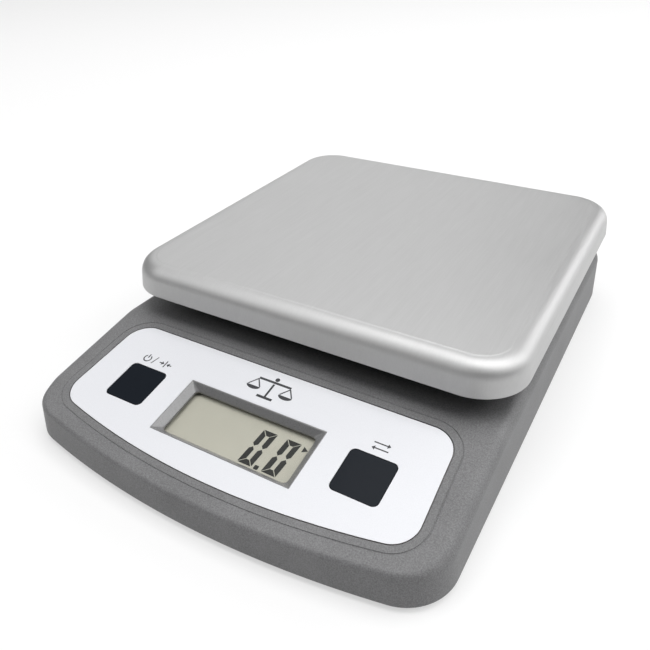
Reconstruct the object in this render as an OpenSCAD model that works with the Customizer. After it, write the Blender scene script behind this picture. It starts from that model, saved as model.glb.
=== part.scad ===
// Compact digital weighing scale: a low plastic body with a sloped control panel
// and a lift-off stainless platform carried by a single-point load cell.
// Axes: +X to the right, +Y towards the rear, +Z up. The origin is on the table,
// under the centre of the body.

/* [Body] */
// Width of the body
body_w = 150.8; // [148:0.2:154]
// Depth of the body, front to rear
body_d = 206.4; // [204:0.2:210]
// Height of the body's front edge above its underside
front_h = 9.6; // [9.6:0.1:10.2]
// Height of the flat deck above the underside
deck_h = 20.1; // [20.1:0.1:21]
// Slope of the control panel in degrees
panel_angle = 10.2; // [10:0.1:10.6]
// Radius of the front wall's bow, seen from above
front_bow_r = 322; // [300:2:360]
// Radius of the front corners
front_corner_r = 16.3; // [15:0.1:17]
// Radius of the rear corners
rear_corner_r = 19; // [16:0.5:20]
// Radius of the shoulder between the side walls and the top
shoulder_r = 4.2; // [3.4:0.1:4.6]
// Radius of the shoulder along the front edge
front_shoulder_r = 1.8; // [1.4:0.1:2.4]
// Thickness of the housing walls
wall = 2.2; // [2:0.1:2.4]

/* [Feet] */
// Radius of a rubber foot
foot_r = 6; // [5:0.5:7]
// Height of the body's underside above the table
feet_h = 2; // [1.6:0.1:2.4]

/* [Platform] */
// Width of the platform at its rim
platform_w = 150; // [148:0.2:150.4]
// Depth of the platform at its rim
platform_d = 146.4; // [144:0.1:148]
// Height of the platform from its rim to its top
platform_h = 10.8; // [10.5:0.1:11.4]
// Inward lean of the platform's walls over their height
platform_draft = 0.6; // [0.3:0.1:1]
// Gap between the deck and the platform's rim
platform_gap = 8.6; // [8:0.1:9]
// Radius of the corners of the platform's rim, seen from above
platform_corner_r = 17; // [14:0.5:18]
// Radius of the platform's rolled upper edge
platform_roll_r = 5.8; // [5:0.1:6.4]
// Thickness of the platform's sheet
sheet = 0.8; // [0.6:0.1:1]

/* [Control panel] */
// Distance of the display's centre behind the front edge
display_set = 28; // [27.5:0.1:28.5]
// Width of the display window
window_w = 52.1; // [51.5:0.1:52.5]
// Height of the display window
window_h = 22.1; // [21.5:0.1:22.5]
// Side of a square key
key_w = 15.2; // [14:0.1:16]
// Distance of a key's centre from the middle of the panel
key_u = 43.2; // [43:0.1:45]
// Distance of a key's centre above the display's centre
key_v = 1.7; // [0:0.1:2]
// Travel of a key
key_travel = 0.5; // [0.3:0.1:0.5]

/* [Weighing] */
// Length of the load cell
cell_l = 80; // [78:1:82]
// Travel of the platform under full load
weigh_travel = 0.7; // [0.4:0.1:0.8]

/* [Battery bay] */
// Distance of the battery bay's centre to the right of the middle
bay_x = 36; // [35:0.5:38]
// Place of the battery bay's centre along the depth
bay_y = 22; // [20:0.5:24]

/* [Hidden] */

housing_colour = "#7c7d80";
dark_plastic = "#3a3b3e";
black_plastic = "#202326";
steel_colour = "#c3c4c6";
screw_colour = "#b4b6b8";
alu_colour = "#c9cbcd";

// driving planes
half_w = body_w / 2;
front_y = -body_d / 2;
rear_y = body_d / 2;
deck_z = feet_h + deck_h;
slope = tan(panel_angle);
fold_y = front_y + (deck_h - front_h) / slope;
fold_blend = 2;
skin_w = wall * cos(panel_angle);

// floor of the lower housing, which sits inside the skirt of the upper housing
skirt_gap = 0.15;
floor_z = feet_h + 0.2;
floor_t = 2;
floor_top = floor_z + floor_t;
lip_t = 1.6;
lip_z = floor_top + 2.3;

// layers of the control panel, measured down from its surface
recess_w = 0.5;
overlay_top = -0.05;
lens_top = -2.95;
lens_t = 0.9;
bezel_bottom = -3.9;
glass_top = -4;
glass_t = 2;
board_top = -7.4;
board_t = 1.6;
board_bottom = board_top - board_t;
key_bottom = -4.3;
switch_top = board_top + 2.2;
plunger_bottom = board_top + 1.1;
display_y = front_y + display_set;
display_z = feet_h + front_h + display_set * slope;
plug_y = display_y + 19.8 * cos(panel_angle) + 11 * sin(panel_angle);
plug_z = display_z + 19.8 * sin(panel_angle) - 11 * cos(panel_angle);

// outline of the label film
label_back = 26.1;
label_front = -19.9;
label_bow_r = 280;
label_half_w = 62.4;
label_flare = 2.5;
label_gap = 0.35;
label_corner_r = 8.5;
groove_offset = 2.6;
groove_w = 0.45;
groove_depth = 0.35;

// platform and what carries it
platform_y1 = rear_y - 0.7;
platform_y0 = platform_y1 - platform_d;
platform_y = platform_y1 - platform_d / 2;
platform_lean = atan(platform_draft / (platform_h - platform_roll_r));
platform_z0 = deck_z + platform_gap;
platform_top = platform_z0 + platform_h;
support_gap = 0.8;
support_top = platform_top - sheet - 1;
support_t = 2;
support_plate_z = support_top - support_t;
support_skirt_z = platform_z0 + 1.6;
rib_z = support_plate_z - 5;
hub_w = 16;
hub_seat_z = rib_z + 2.6;
stop_places = [[52, -18], [52, 80]];
stop_r = 3.2;
pad_places = [[-55, -25], [55, -25], [-55, 87], [55, 87]];
pad_r = 6;

// overload stops keep a little clearance at full travel
stop_gap = weigh_travel + 0.3;

// load cell, with its fixed end at the rear and its free end at the front
cell_w = 12.7;
cell_h = 12;
cell_z = 7;
cell_y0 = platform_y - cell_l / 2;
cell_y1 = platform_y + cell_l / 2;
cell_screw_set = 7.5;
cell_screw_pitch = 15;
free_screws = [cell_y0 + cell_screw_set, cell_y0 + cell_screw_set + cell_screw_pitch];
fixed_screws = [cell_y1 - cell_screw_set - cell_screw_pitch, cell_y1 - cell_screw_set];
cell_pad_z = 5;
cell_spacer_l = 30;
cell_screw_r = 2;
cell_screw_head_r = 3.6;
cell_bore_r = 4;
cell_bore_pitch = 14;
hub_y = cell_y0 + cell_spacer_l / 2;
hub_hole_w = cell_w + 8;
hub_hole_l = cell_spacer_l + 8;

// fasteners
screw_places = [[66, -66], [66, 20], [62, 74]];
screw_r = 1.25;
screw_head_r = 2.8;
screw_seat_z = 7;
boss_join_z = 10;
screw_tip_z = 15;
boss_r = 3.5;
board_screw_places = [[32.5, -11], [32.5, 16]];
board_screw_r = 1;
board_boss_r = 2.6;
foot_places = [[58, -84], [58, 88]];

// battery bay and its door
bay_w = 30.6;
bay_l = 58.6;
bay_wall = 1.4;
bay_roof_z = 18.7;
bay_roof_t = 0.9;
battery_r = 7.1;
battery_l = 50.5;
battery_z = 11.4;
battery_pitch = 15;
contact_t = 0.5;
spring_l = bay_l - 2 * contact_t - battery_l;
door_half_w = 16.7;
door_y0 = bay_y - 31;
door_t = 1.8;
door_gap = 0.3;
hinge_y = bay_y + 33;
hinge_r = 1.2;
hinge_z = floor_z + hinge_r;
hinge_pin_r = 0.8;
hinge_hole_r = 0.85;

// power inlet in the rear wall
jack_x = -40;
jack_z = 11.6;
jack_nose_r = 4;
jack_bore_r = 2.85;

// ---------------------------------------------------------------- outlines

// points of a round stretch
function arc(c, r, a0, a1, n) =
    [for (k = [0:n]) let (a = a0 + (a1 - a0) * k / n) c + r * [cos(a), sin(a)]];

// a closed ring from its right half, which starts on the centre line at the front
function both_sides(half) =
    concat(half, [for (k = [len(half) - 1:-1:1]) [-half[k][0], half[k][1]]]);

// rounded rectangle about the origin
function rounded(w, h, r, n = 5) =
    let (x = w / 2 - r, y = h / 2 - r)
    concat(arc([x, y], r, 0, 90, n), arc([-x, y], r, 90, 180, n),
           arc([-x, -y], r, 180, 270, n), arc([x, -y], r, 270, 360, n));

// plan of the body, moved inwards by inset
bow_centre = [0, front_y + front_bow_r];
front_corner_x = half_w - front_corner_r;
bow_end = asin(front_corner_x / (front_bow_r - front_corner_r));
front_corner = [front_corner_x, bow_centre[1] - (front_bow_r - front_corner_r) * cos(bow_end)];
rear_corner = [half_w - rear_corner_r, rear_y - rear_corner_r];
fold_ys = [for (k = [-1:0.5:1]) fold_y + k * fold_blend];
function body_plan(inset) = both_sides(concat(
    arc(bow_centre, front_bow_r - inset, -90, bow_end - 90, 8),
    arc(front_corner, front_corner_r - inset, bow_end - 81, 0, 7),
    [for (y = fold_ys) [half_w - inset, y]],
    arc(rear_corner, rear_corner_r - inset, 0, 90, 7)));

// plan of the platform and of its support, moved inwards by inset
function platform_plan(inset) =
    [for (p = rounded(platform_w - 2 * inset, platform_d - 2 * inset, platform_corner_r - inset, 8))
        [p[0], p[1] + platform_y]];

// outline of the label film in the panel's plane, moved outwards by grow
label_bow = [0, label_front + label_bow_r];
label_n = [cos(label_flare), sin(label_flare)];
label_d = [sin(label_flare), -cos(label_flare)];
label_back_c = [label_half_w, label_back] - label_corner_r * label_n
    + label_corner_r * (1 - sin(label_flare)) / cos(label_flare) * label_d;
label_q = [label_half_w, label_back] - label_corner_r * label_n - label_bow;
label_s = -label_q * label_d
    + sqrt(pow(label_q * label_d, 2) - label_q * label_q + pow(label_bow_r - label_corner_r, 2));
label_front_c = label_bow + label_q + label_s * label_d;
label_bow_end = atan2(label_front_c[1] - label_bow[1], label_front_c[0]);
function label_plan(grow) = both_sides(concat(
    arc(label_bow, label_bow_r + grow, -90, label_bow_end, 10),
    arc(label_front_c, label_corner_r + grow, label_bow_end + 8, label_flare, 7),
    arc(label_back_c, label_corner_r + grow, label_flare, 90, 7)));

// height of the body's top over a place along its depth, with a soft fold
function top_z(y) =
    let (t = (y - fold_y + fold_blend) / (2 * fold_blend))
    t <= 0 ? feet_h + front_h + (y - front_y) * slope
    : t >= 1 ? deck_z
    : deck_z - slope * fold_blend * (1 - t) * (1 - t);

// ---------------------------------------------------------------- builders

// faces that close the last ring of a loft: one flat face, or strips across the width
function flat_cap(n, top) = [[for (j = [n - 1:-1:0]) top + j]];
function strip_cap(n, top) = concat(
    [[top, top + n - 1, top + 1]],
    [for (j = [1:(n - 3) / 2]) [top + n - j, top + n - j - 1, top + j + 1, top + j]]);

// closed solid through rings of equal length; strips need rings from both_sides
module loft(rings, strips = false) {
    n = len(rings[0]);
    top = (len(rings) - 1) * n;
    polyhedron(
        points = [for (ring = rings) each ring],
        faces = concat(
            [[for (j = [0:n - 1]) j]],
            [for (k = [0:len(rings) - 2]) for (j = [0:n - 1])
                let (a = k * n + j, b = k * n + (j + 1) % n) [a, a + n, b + n, b]],
            strips ? strip_cap(n, top) : flat_cap(n, top)));
}

// shoulder radius at a place on the plan whose outward direction is n, less trim
function shoulder_at(n, trim) =
    let (t = min(max((-n[1] - 0.25) / 0.7, 0), 1))
    max(shoulder_r + (front_shoulder_r - shoulder_r) * t * t * (3 - 2 * t) - trim, 0.4);

// the body's outer form, moved inwards by inset and lowered by the same; trim shrinks its shoulder
module body_form(inset, z0, trim) {
    outer = body_plan(0);
    inner = body_plan(1);
    loft(concat(
        [[for (p = body_plan(inset)) [p[0], p[1], z0]]],
        [for (a = [0:18:90])
            [for (k = [0:len(outer) - 1])
                let (n = outer[k] - inner[k], r = shoulder_at(n, trim),
                    p = outer[k] - (inset + r * (1 - cos(a))) * n)
                [p[0], p[1], top_z(p[1]) - inset - r * (1 - sin(a))]]]), strips = true);
}

// a flat-topped form with leaning walls and a rolled upper edge on the platform's plan
function lean_at(z) = (z - platform_z0) * tan(platform_lean);
module platform_form(inset, z0, z1, r) {
    steps = 5;
    roll_z = z1 - r * (1 - sin(platform_lean));
    base = inset + lean_at(roll_z) - r * (1 - cos(platform_lean));
    loft(concat(
        [[for (p = platform_plan(inset + lean_at(z0))) [p[0], p[1], z0]]],
        [for (k = [0:steps]) let (a = platform_lean + (90 - platform_lean) * k / steps)
            [for (p = platform_plan(base + r * (1 - cos(a)))) [p[0], p[1], z1 - r * (1 - sin(a))]]]));
}

module on_panel() {
    translate([0, display_y, display_z]) rotate([panel_angle, 0, 0]) children();
}

module slab(outline, z0, z1) {
    translate([0, 0, z0]) linear_extrude(z1 - z0) polygon(outline);
}

module at_both_sides(places) {
    for (p = places) for (s = [-1, 1]) translate([s * p[0], p[1], 0]) children();
}

module rod(r, z0, z1) {
    translate([0, 0, z0]) cylinder(h = z1 - z0, r = r, $fn = 48);
}

module block(x0, x1, y0, y1, z0, z1) {
    translate([x0, y0, z0]) cube([x1 - x0, y1 - y0, z1 - z0]);
}

// screw with a round head and a cross recess, head downwards, seated at seat_z
module screw(r, head_r, head_h, seat_z, tip_z) {
    recess = head_r * 1.1;
    difference() {
        union() {
            rod(head_r, seat_z - head_h, seat_z);
            rod(r, seat_z, tip_z);
        }
        for (a = [0, 90]) rotate([0, 0, a])
            block(-recess / 2, recess / 2, -0.35, 0.35, seat_z - head_h - 1, seat_z - head_h / 2);
    }
}

// round tube along a route that never runs along up
function unit(v) = v / norm(v);
function heading(route, k) =
    unit(route[min(k + 1, len(route) - 1)] - route[max(k - 1, 0)]);
module tube(route, r, sides = 8, up = [0, 0, 1]) {
    rings = [for (k = [0:len(route) - 1])
        let (t = heading(route, k), s = unit(cross(t, up)), u = cross(s, t))
        [for (j = [0:sides - 1])
            route[k] + r * (cos(360 * j / sides) * s + sin(360 * j / sides) * u)]];
    loft(rings);
}

// smooth route through hand-chosen points
function spline(p, k, t) =
    let (a = p[max(k - 1, 0)], b = p[k], c = p[k + 1], d = p[min(k + 2, len(p) - 1)])
    0.5 * (2 * b + (c - a) * t + (2 * a - 5 * b + 4 * c - d) * t * t
        + (3 * b - 3 * c + d - a) * t * t * t);
function smooth(p, steps) = concat(
    [for (k = [0:len(p) - 2]) for (j = [0:steps - 1]) spline(p, k, j / steps)],
    [p[len(p) - 1]]);

// ---------------------------------------------------------------- housings

module upper_housing() {
    color(housing_colour) difference() {
        union() {
            difference() {
                body_form(0, feet_h, 0);
                body_form(wall, feet_h - 1, wall);
            }
            for (p = screw_places)
                at_both_sides([p]) rod(boss_r, boss_join_z, top_z(p[1]) - wall + 0.8);
            on_panel() at_both_sides(board_screw_places) rod(board_boss_r, board_top, -1);
            translate([0, hub_y, 0])
                slab(rounded(hub_hole_w + 3, hub_hole_l + 3, 6.5), deck_z - 1, deck_z + 1.2);
        }
        at_both_sides(screw_places) rod(screw_r + 0.05, boss_join_z - 1, screw_tip_z + 0.5);
        on_panel() {
            slab(label_plan(label_gap), -recess_w, 3);
            difference() {
                slab(label_plan(groove_offset + groove_w), -groove_depth, 1);
                slab(label_plan(groove_offset), -groove_depth - 1, 2);
            }
            slab(rounded(window_w + 0.3, window_h + 0.3, 0.6, 2), -4, 2);
            for (s = [-1, 1]) translate([s * key_u, key_v, 0])
                slab(rounded(key_w + 0.7, key_w + 0.7, 2.2), -4, 2);
            at_both_sides(board_screw_places) rod(board_screw_r + 0.05, board_top - 1, -3);
        }
        translate([0, hub_y, 0]) slab(rounded(hub_hole_w, hub_hole_l, 5), deck_z - 5, deck_z + 3);
        translate([jack_x, rear_y + 1, jack_z]) rotate([90, 0, 0]) rod(jack_nose_r + 0.15, 0, 8);
    }
}

module lower_housing() {
    plan = body_plan(wall + skirt_gap);
    stop_z = cell_z - stop_gap;
    color(dark_plastic) difference() {
        union() {
            slab(plan, floor_z, floor_top);
            difference() {
                slab(plan, floor_top - 0.5, lip_z);
                slab(body_plan(wall + skirt_gap + lip_t), floor_top - 1, lip_z + 1);
            }
            at_both_sides(screw_places) rod(boss_r, floor_top - 0.5, boss_join_z);
            block(-9, 9, fixed_screws[0] - 7, fixed_screws[1] + 9, floor_top - 0.5, cell_pad_z);
            translate([0, cell_y0 + 4, 0]) rod(4, floor_top - 0.5, stop_z);
            battery_bay();
            hinge_lugs();
            jack_cradle();
        }
        at_both_sides(screw_places) {
            rod(screw_head_r + 0.4, floor_z - 1, screw_seat_z);
            rod(screw_r + 0.4, screw_seat_z - 1, boss_join_z + 1);
        }
        at_both_sides(foot_places) rod(foot_r + 0.05, floor_z - 1, floor_z + 0.4);
        for (y = fixed_screws) translate([0, y, 0]) {
            rod(cell_screw_head_r + 0.4, floor_z - 1, floor_z + 1.8);
            rod(cell_screw_r + 0.3, floor_z, cell_pad_z + 1);
        }
        // the bay's inside and the seat of the door below it
        translate([bay_x, bay_y, 0]) slab(rounded(bay_w, bay_l, 1.5), floor_z - 1, bay_roof_z);
        block(bay_x - door_half_w - door_gap, bay_x + door_half_w + door_gap,
            door_y0 - door_gap, hinge_y + hinge_r + door_gap, floor_z - 1, floor_top);
        translate([bay_x, hinge_y, hinge_z]) rotate([0, 90, 0])
            rod(hinge_hole_r, -door_half_w - 2.8, door_half_w + 2.8);
        // scoop for a fingertip in front of the door's latch
        translate([bay_x, door_y0 - 1, floor_z - 7]) sphere(r = 8, $fn = 48);
    }
}

module battery_bay() {
    translate([bay_x, bay_y, 0]) {
        slab(rounded(bay_w + 2 * bay_wall, bay_l + 2 * bay_wall, 2.5),
            floor_top, bay_roof_z + bay_roof_t);
        slab(rounded(bay_w + 9, bay_l + 2 * bay_wall, 2.5), floor_top, floor_top + 1.2);
        block(-bay_w / 2 - 1, bay_w / 2 + 1, -bay_l / 2 - 5, -bay_l / 2 + 2, floor_top,
            floor_top + 1.2);
    }
}

module hinge_lugs() {
    for (s = [-1, 1]) translate([bay_x + s * (door_half_w + door_gap + 1.5), hinge_y, 0])
        block(-1.5, 1.5, -2.4, 2.4, floor_z, hinge_z + 2);
}

module jack_cradle() {
    for (s = [-1, 1]) translate([jack_x + s * 5.9, 0, 0])
        block(-0.7, 0.7, 92, 100, floor_top - 0.5, 10);
    block(jack_x - 4, jack_x + 4, 88.2, 89.7, floor_top - 0.5, 8);
}

module battery_door() {
    tongue_w = 12;
    tongue_l = 13;
    slot_w = 1;
    color(dark_plastic) difference() {
        union() {
            block(bay_x - door_half_w, bay_x + door_half_w, door_y0, hinge_y,
                floor_z, floor_z + door_t);
            translate([bay_x, hinge_y, hinge_z]) rotate([0, 90, 0]) {
                rod(hinge_r, -door_half_w, door_half_w);
                rod(hinge_pin_r, -door_half_w - 2.4, door_half_w + 2.4);
            }
        }
        // slots on both sides of the springy latch tongue
        for (s = [-1, 1]) translate([bay_x + s * tongue_w / 2, door_y0, 0])
            block(-slot_w / 2, slot_w / 2, -1, tongue_l, floor_z - 1, floor_z + door_t + 1);
        // grip grooves across the tongue
        for (k = [0:3]) translate([bay_x, door_y0 + 3 + 2 * k, 0])
            block(-tongue_w / 2 + 1.5, tongue_w / 2 - 1.5, 0, 0.9, floor_z - 1, floor_z + 0.5);
    }
}

module rubber_feet() {
    color("#2a2b2c") at_both_sides(foot_places)
        rotate_extrude($fn = 48)
            polygon([[0, 0], [foot_r - 0.8, 0], [foot_r, 0.8], [foot_r, floor_z + 0.4],
                [0, floor_z + 0.4]]);
}

module housing_screws() {
    color(screw_colour) at_both_sides(screw_places)
        screw(screw_r, screw_head_r, 2.2, screw_seat_z, screw_tip_z);
}

// ---------------------------------------------------------------- control panel

module panel_overlay() {
    color("#f0f1f5") on_panel() difference() {
        slab(label_plan(0), -recess_w, overlay_top);
        slab(rounded(window_w + 0.1, window_h + 0.1, 0.4, 2), -2, 1);
        for (s = [-1, 1]) translate([s * key_u, key_v, 0])
            slab(rounded(key_w + 0.3, key_w + 0.3, 1.95), -2, 1);
    }
}

// frame round the display: sloped sides down to the clear lens
module display_bezel() {
    opening_w = 47;
    opening_h = 18;
    slope_bottom = -2.1;
    edge = 0.4;
    top_x = window_w / 2 - edge;
    top_y = window_h / 2 - edge;
    low_x = opening_w / 2;
    low_y = opening_h / 2;
    color("#98999b") on_panel() difference() {
        union() {
            slab(rounded(window_w, window_h, 0.4, 2), -3, overlay_top);
            slab(rounded(window_w + 4, window_h + 4, 1), bezel_bottom, -skin_w - 0.05);
        }
        polyhedron(
            points = [
                [-low_x, -low_y, slope_bottom], [low_x, -low_y, slope_bottom],
                [low_x, low_y, slope_bottom], [-low_x, low_y, slope_bottom],
                [-top_x, -top_y, overlay_top], [top_x, -top_y, overlay_top],
                [top_x, top_y, overlay_top], [-top_x, top_y, overlay_top]],
            faces = [[0, 1, 2, 3], [7, 6, 5, 4], [0, 4, 5, 1], [1, 5, 6, 2], [2, 6, 7, 3],
                [3, 7, 4, 0]]);
        slab(rounded(opening_w, opening_h, 1.5), bezel_bottom - 1, slope_bottom + 0.01);
        slab(rounded(opening_w + 2.4, opening_h + 2.4, 1.2), bezel_bottom - 1, lens_top + 0.05);
    }
}

module display_lens() {
    color("#dfe6e2", 0.35) on_panel() slab(rounded(49, 20, 1), lens_top - lens_t, lens_top);
}

module lcd_glass() {
    color("#c0beb1") on_panel() {
        slab(rounded(54, 22, 0.5, 2), glass_top - 1, glass_top);
        slab([[-27, -11], [27, -11], [27, 13], [-27, 13]], glass_top - glass_t, glass_top - 1);
    }
}

// seven-segment digits standing on the glass: two zeros, a point and a marker
digit_w = 5.1;
digit_h = 13.5;
digit_lean = 0.083;
bar_t = 1.6;
digit_places = [4.6, 13.3];
digit_base_v = -7.5;
// each bar's two ends as shares of the digit's width and height, and the side it is laid to
lit_bars = [
    [[0, 1], [1, 1], -1], [[1, 0.5], [1, 1], 1], [[1, 0], [1, 0.5], 1],
    [[0, 0], [1, 0], 1], [[0, 0], [0, 0.5], -1], [[0, 0.5], [0, 1], -1],
];

// one bar between two corners of the digit, mitred at both ends and laid to one side
function bar(p0, p1, side) =
    let (a = [p0[0] * digit_w, p0[1] * digit_h], b = [p1[0] * digit_w, p1[1] * digit_h],
        d = unit(b - a), n = side * [-d[1], d[0]], g = 0.12,
        a1 = a + g * d, b1 = b - g * d)
    [for (q = [a1, b1, b1 - bar_t * d + bar_t * n, a1 + bar_t * d + bar_t * n])
        [q[0] + digit_lean * q[1], q[1]]];

module lcd_segments() {
    z0 = glass_top;
    z1 = glass_top + 0.06;
    color("#2b2b28") on_panel() {
        for (u = digit_places) translate([u, digit_base_v, 0])
            for (b = lit_bars) slab(bar(b[0], b[1], b[2]), z0, z1);
        translate([11.3, digit_base_v + 0.5, 0]) slab(rounded(1.4, 1.4, 0.2, 2), z0, z1);
        translate([21.2, 4.4, 0]) slab([[-0.9, -1], [0.9, 0], [-0.9, 1]], z0, z1);
    }
}

module lcd_holder() {
    color("#d8d6cf") on_panel() difference() {
        slab(rounded(58, 28.6, 1), board_top, glass_top - 0.2);
        translate([0, 1, 0])
            slab([[-27.2, -12.2], [27.2, -12.2], [27.2, 12.2], [-27.2, 12.2]], glass_top - glass_t, 0);
        translate([0, -2, 0]) slab(rounded(48, 16, 1), board_top - 1, 0);
        translate([0, 11, 0]) slab([[-25, -1.2], [25, -1.2], [25, 1.2], [-25, 1.2]], board_top - 1, 0);
    }
}

module zebra_strip() {
    color("#35424e") on_panel() translate([0, 11, 0])
        slab([[-24.8, -1], [24.8, -1], [24.8, 1], [-24.8, 1]], board_top, glass_top - glass_t);
}

module main_board() {
    color("#1f6b45") on_panel() difference() {
        translate([0, 3, 0]) slab(rounded(108, 34, 2), board_bottom, board_top);
        at_both_sides(board_screw_places) rod(board_screw_r + 0.2, board_bottom - 1, board_top + 1);
    }
}

module controller_chip() {
    color("#18191b") on_panel() translate([2, 3, 0]) {
        rod(6, board_bottom - 0.7, board_bottom);
        rod(4.6, board_bottom - 1.2, board_bottom - 0.7);
    }
}

module adc_chip() {
    legs = 8;
    leg_pitch = 1.27;
    color("#222426") on_panel() translate([-20, 2, 0]) {
        block(-5, 5, -2, 2, board_bottom - 1.8, board_bottom - 0.2);
        for (k = [0:legs - 1]) translate([(k - (legs - 1) / 2) * leg_pitch, 0, 0])
            block(-0.2, 0.2, -3, 3, board_bottom - 0.4, board_bottom);
    }
}

module filter_capacitors() {
    color("#3b4a73") on_panel() for (u = [17, 25]) translate([u, 2, 0])
        rod(2.5, board_bottom - 3.2, board_bottom);
}

module board_connectors() {
    color("#ece8dc") on_panel() for (u = [-25, -16, 22]) translate([u, 17, 0])
        block(-3.6, 3.6, -2.5, 2.5, board_bottom - 4, board_bottom);
}

module board_screws() {
    color(screw_colour) on_panel() at_both_sides(board_screw_places)
        screw(board_screw_r, 2, 1, board_bottom, -3.2);
}

module tact_switches() {
    color("#26282a") on_panel() for (s = [-1, 1]) translate([s * key_u, key_v, 0])
        difference() {
            block(-3, 3, -3, 3, board_top, switch_top);
            rod(1.75, plunger_bottom - key_travel - 0.1, switch_top + 1);
        }
}

module key_cap(side) {
    color(black_plastic) on_panel() translate([side * key_u, key_v, 0]) {
        slab(rounded(key_w, key_w, 1.8), -2.6, overlay_top);
        slab(rounded(key_w + 2.4, key_w + 2.4, 2), -3.4, -2.5);
        rod(2.2, key_bottom, -3.3);
    }
}

module switch_plunger(side) {
    color("#d9d4c4") on_panel() translate([side * key_u, key_v, 0])
        rod(1.68, plunger_bottom, key_bottom);
}

// ---------------------------------------------------------------- weighing

module load_cell() {
    color(alu_colour) difference() {
        block(-cell_w / 2, cell_w / 2, cell_y0, cell_y1, cell_z, cell_z + cell_h);
        for (s = [-1, 1]) translate([0, platform_y + s * cell_bore_pitch / 2, cell_z + cell_h / 2])
            rotate([0, 90, 0]) rod(cell_bore_r, -cell_w, cell_w);
        translate([0, platform_y, cell_z + cell_h / 2])
            block(-cell_w, cell_w, -cell_bore_pitch / 2, cell_bore_pitch / 2, -1.5, 1.5);
        for (y = concat(free_screws, fixed_screws)) translate([0, y, 0])
            rod(cell_screw_r + 0.05, cell_z - 1, cell_z + cell_h + 1);
    }
}

module strain_gauges() {
    color("#e9e3cf") for (s = [-1, 1]) translate([0, platform_y + s * cell_bore_pitch / 2, 0]) {
        block(-4, 4, -2.6, 2.6, cell_z + cell_h, cell_z + cell_h + 0.3);
        block(-4, 4, -2.6, 2.6, cell_z - 0.3, cell_z);
    }
}

module cell_spacer(y0, z0, z1) {
    difference() {
        block(-cell_w / 2, cell_w / 2, y0, y0 + cell_spacer_l, z0, z1);
        for (y = [0, cell_screw_pitch]) translate([0, y0 + cell_screw_set + y, 0])
            rod(cell_screw_r + 0.2, z0 - 1, z1 + 1);
    }
}

module cell_spacer_lower() {
    color(alu_colour) cell_spacer(cell_y1 - cell_spacer_l, cell_pad_z, cell_z);
}

module cell_spacer_upper() {
    color(alu_colour) cell_spacer(cell_y0, cell_z + cell_h, rib_z);
}

module cell_screws_lower() {
    color(screw_colour) for (y = fixed_screws) translate([0, y, 0])
        screw(cell_screw_r, cell_screw_head_r, 1.5, floor_z + 1.8, 16);
}

module cell_screws_upper() {
    color(screw_colour) for (y = free_screws) translate([0, y, 2 * hub_seat_z]) mirror([0, 0, 1])
        screw(cell_screw_r, cell_screw_head_r, 2.4, hub_seat_z, 2 * hub_seat_z - 12);
}

module load_cell_cable() {
    color("#8f9296") tube(smooth([
        [-7, 46, 12], [-10, 45, 11.5], [-14, 40, 9.5], [-16, 32, 7.5], [-17, 20, 6.5],
        [-17, 0, 6], [-17, -20, 6], [-16.5, -38, 7.5], [-16, -47, plug_z - 0.7],
        [-16, plug_y, plug_z]], 3), 1.2);
}

// ribbed plastic tray under the platform, screwed down on the upper spacer
module platform_support() {
    inset = sheet + support_gap;
    color(dark_plastic) difference() {
        union() {
            difference() {
                platform_form(inset, support_skirt_z, support_top, 4.6);
                platform_form(inset + 1.8, support_skirt_z - 1, support_plate_z, 2.8);
            }
            for (x = [-30, 30]) block(x - 0.8, x + 0.8, platform_y0 + 3.8, platform_y1 - 3.8,
                rib_z, support_plate_z + 0.5);
            for (y = [hub_y - 14, hub_y + 14, 72])
                block(-platform_w / 2 + 3.8, platform_w / 2 - 3.8, y - 0.8, y + 0.8,
                    rib_z, support_plate_z + 0.5);
            translate([0, hub_y, 0])
                slab(rounded(hub_w, cell_spacer_l, 2), rib_z, support_plate_z + 0.5);
        }
        at_both_sides(stop_places) rod(stop_r + 0.05, support_skirt_z, support_top + 1);
        for (y = free_screws) translate([0, y, 0]) {
            rod(cell_screw_head_r + 0.5, hub_seat_z, support_top + 1);
            rod(cell_screw_r + 0.2, rib_z - 1, hub_seat_z + 1);
        }
    }
}

// posts pressed into the tray, which meet the deck before the load cell bends too far
module overload_stops() {
    color(dark_plastic) at_both_sides(stop_places)
        rod(stop_r, deck_z + stop_gap, support_top - 0.3);
}

module platform_pads() {
    color("#d7d7d2") for (p = pad_places) translate([p[0], p[1], 0])
        rod(pad_r, support_top, platform_top - sheet);
}

module weighing_platform() {
    color(steel_colour) difference() {
        platform_form(0, platform_z0, platform_top, platform_roll_r);
        platform_form(sheet, platform_z0 - 1, platform_top - sheet, platform_roll_r - sheet);
    }
}

// ---------------------------------------------------------------- power

// turn is 1 for a cell with its positive end to the rear, -1 for the other way round
module battery(x, turn) {
    nub_l = 1.5;
    y_end = turn * (bay_l / 2 - contact_t);
    color("#3e5f86") translate([x, bay_y + y_end, battery_z]) rotate([turn * 90, 0, 0]) {
        rod(2.7, 0, nub_l);
        rod(battery_r, nub_l, battery_l);
    }
}

module battery_cell_1() {
    battery(bay_x - battery_pitch / 2, 1);
}

module battery_cell_2() {
    battery(bay_x + battery_pitch / 2, -1);
}

// helical spring between a contact plate and a cell's flat end
module battery_spring(x, turn) {
    turns = 4;
    wire_r = 0.4;
    steps = 14;
    length = spring_l - 2 * wire_r - 0.1;
    y_end = bay_y - turn * (bay_l / 2 - contact_t);
    route = [for (k = [0:turns * steps])
        let (a = 360 * k / steps, f = k / (turns * steps), r = 4.4 - 1.2 * f)
        [x + r * cos(a), y_end + turn * (wire_r + 0.05 + length * f), battery_z + r * sin(a)]];
    tube(route, wire_r, 6, [0, 1, 0]);
}

module battery_springs() {
    color(screw_colour) {
        battery_spring(bay_x - battery_pitch / 2, 1);
        battery_spring(bay_x + battery_pitch / 2, -1);
    }
}

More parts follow.
